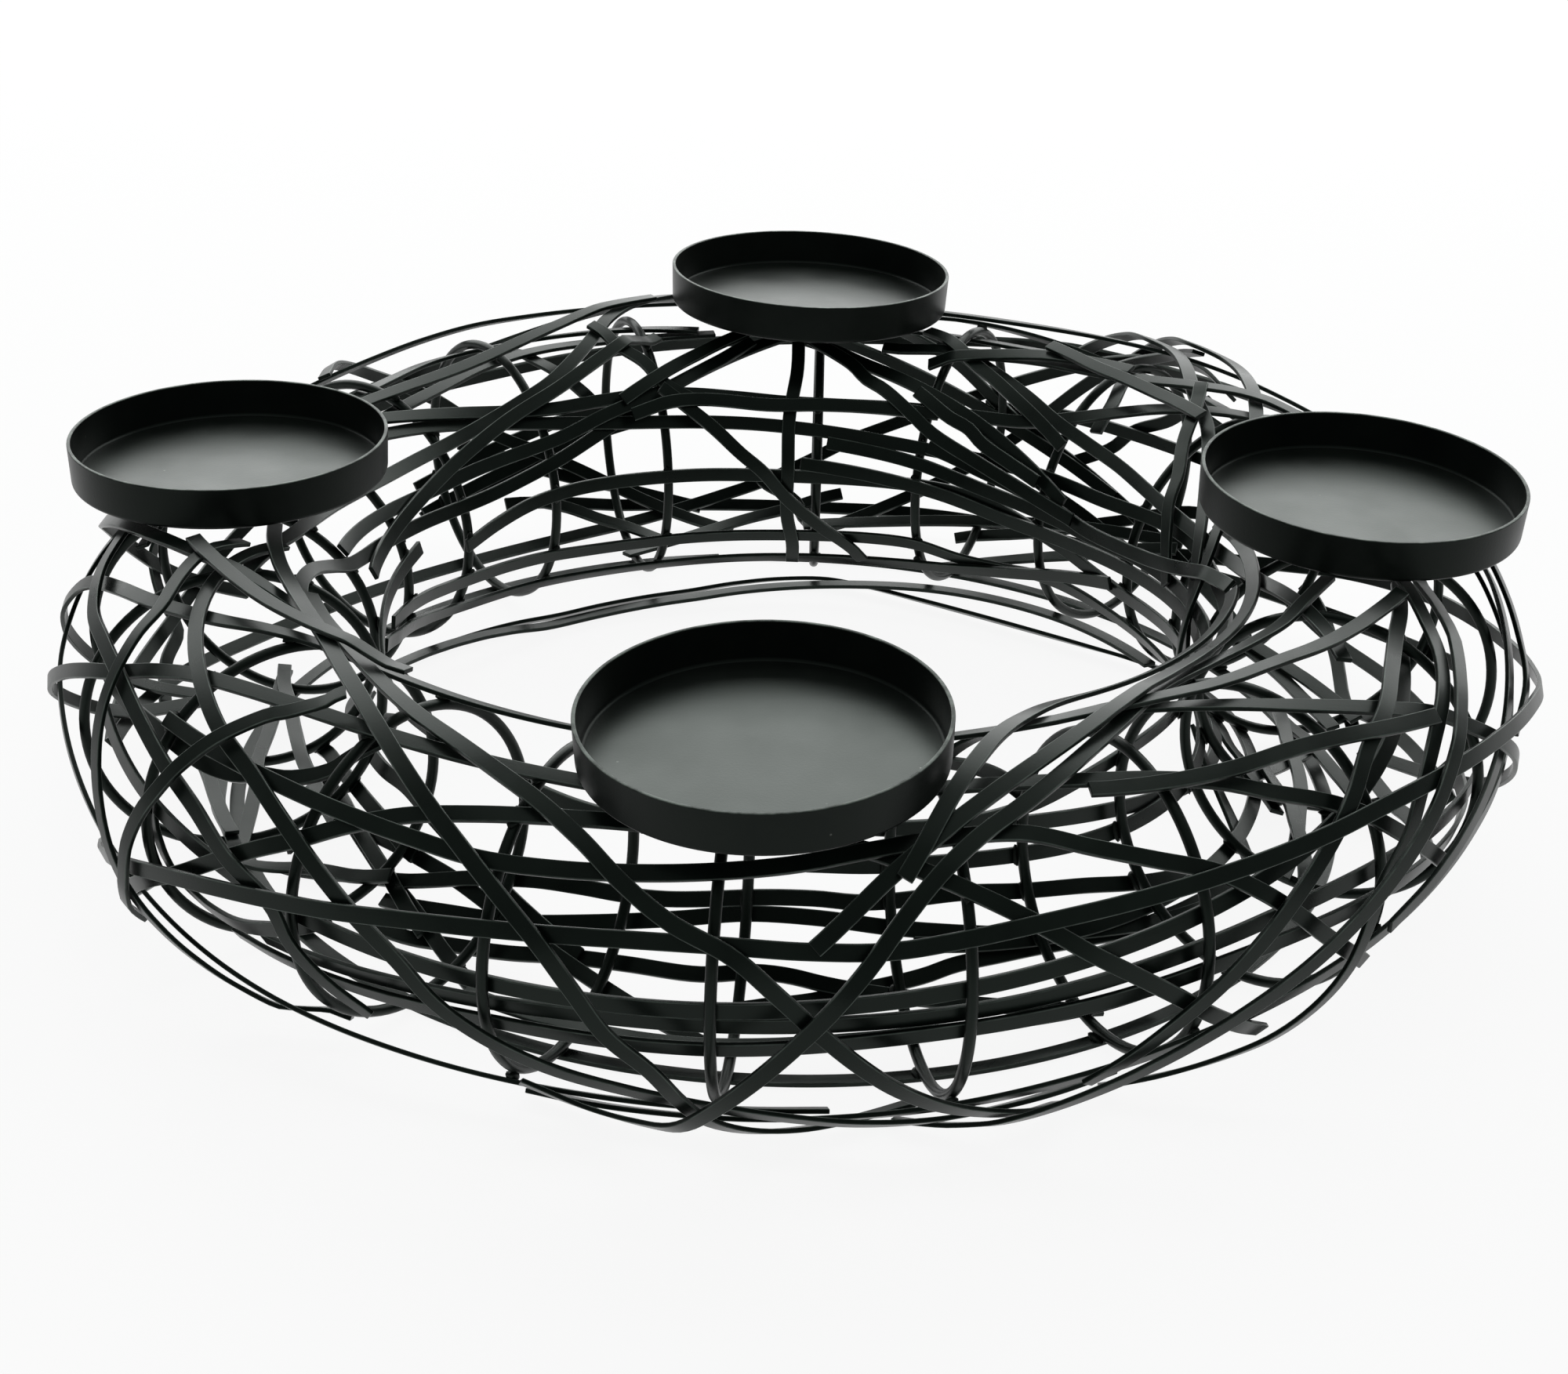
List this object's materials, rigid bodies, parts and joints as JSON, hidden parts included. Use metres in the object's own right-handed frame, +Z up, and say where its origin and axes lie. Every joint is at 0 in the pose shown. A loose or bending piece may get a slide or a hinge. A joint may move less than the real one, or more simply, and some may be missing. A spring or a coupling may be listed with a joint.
{
  "type": "metal advent wreath",
  "caption": "Ring-shaped candle holder of wire hoops wound with flat metal strips, with shallow round candle plates on top.",
  "frame": {"origin": "middle of the wreath's outline, on the surface it stands on", "axes": "+Z up out of the candle plates, +X towards the right plate, +Y towards the rear plate, so the front plate lies at -Y"},
  "size_m": [0.393, 0.3922, 0.1009],
  "materials": {
    "hoop_wire": "satin black paint on round steel wire",
    "strip_steel": "satin black paint on flat steel strip",
    "plate_steel": "satin black paint with a fine orange-peel texture on spun sheet steel",
    "peg_weld": "matt black painted steel peg with weld"
  },
  "bodies": {
    "root": {"hoop_01": "hoop_wire", "hoop_02": "hoop_wire", "hoop_03": "hoop_wire", "hoop_04": "hoop_wire", "hoop_05": "hoop_wire", "hoop_06": "hoop_wire", "hoop_07": "hoop_wire", "hoop_08": "hoop_wire", "hoop_09": "hoop_wire", "hoop_10": "hoop_wire", "hoop_11": "hoop_wire", "hoop_12": "hoop_wire", "hoop_13": "hoop_wire", "hoop_14": "hoop_wire", "hoop_15": "hoop_wire", "hoop_16": "hoop_wire", "hoop_17": "hoop_wire", "hoop_18": "hoop_wire", "hoop_19": "hoop_wire", "hoop_20": "hoop_wire", "strip_inside_band_lower": "strip_steel", "strip_inside_band_middle": "strip_steel", "strip_foot_ring": "strip_steel", "strip_left_outline_band": "strip_steel", "strip_right_outline_band": "strip_steel", "strip_shelf_arc": "strip_steel", "strip_rear_crown_sweep": "strip_steel", "strip_rear_crest_band": "strip_steel", "strip_inner_ring_high": "strip_steel", "strip_inner_ring_middle": "strip_steel", "strip_hole_edge_chord": "strip_steel", "strip_long_crossing_strip": "strip_steel", "strip_rear_inner_band": "strip_steel", "strip_left_inner_sweep": "strip_steel", "strip_right_inner_sweep": "strip_steel", "strip_front_low_arc": "strip_steel", "strip_front_wave": "strip_steel", "strip_left_shoulder_loop": "strip_steel", "strip_left_outer_dive": "strip_steel", "strip_left_crown_dive": "strip_steel", "strip_left_peg_sweep": "strip_steel", "strip_rear_outer_cross_a": "strip_steel", "strip_rear_outer_cross_b": "strip_steel", "strip_rear_outer_cross_c": "strip_steel", "strip_rear_outer_band": "strip_steel", "strip_right_shelf_bow": "strip_steel", "strip_right_outer_dive": "strip_steel", "strip_right_outer_curve": "strip_steel", "strip_front_long_band": "strip_steel", "strip_front_left_sweep_inner": "strip_steel", "strip_front_left_sweep_outer": "strip_steel", "strip_front_right_sweep": "strip_steel", "candle_plate_right": "plate_steel", "plate_peg_right": "peg_weld", "candle_plate_rear": "plate_steel", "plate_peg_rear": "peg_weld", "candle_plate_left": "plate_steel", "plate_peg_left": "peg_weld", "candle_plate_front": "plate_steel", "plate_peg_front": "peg_weld"}
  },
  "joints": []
}
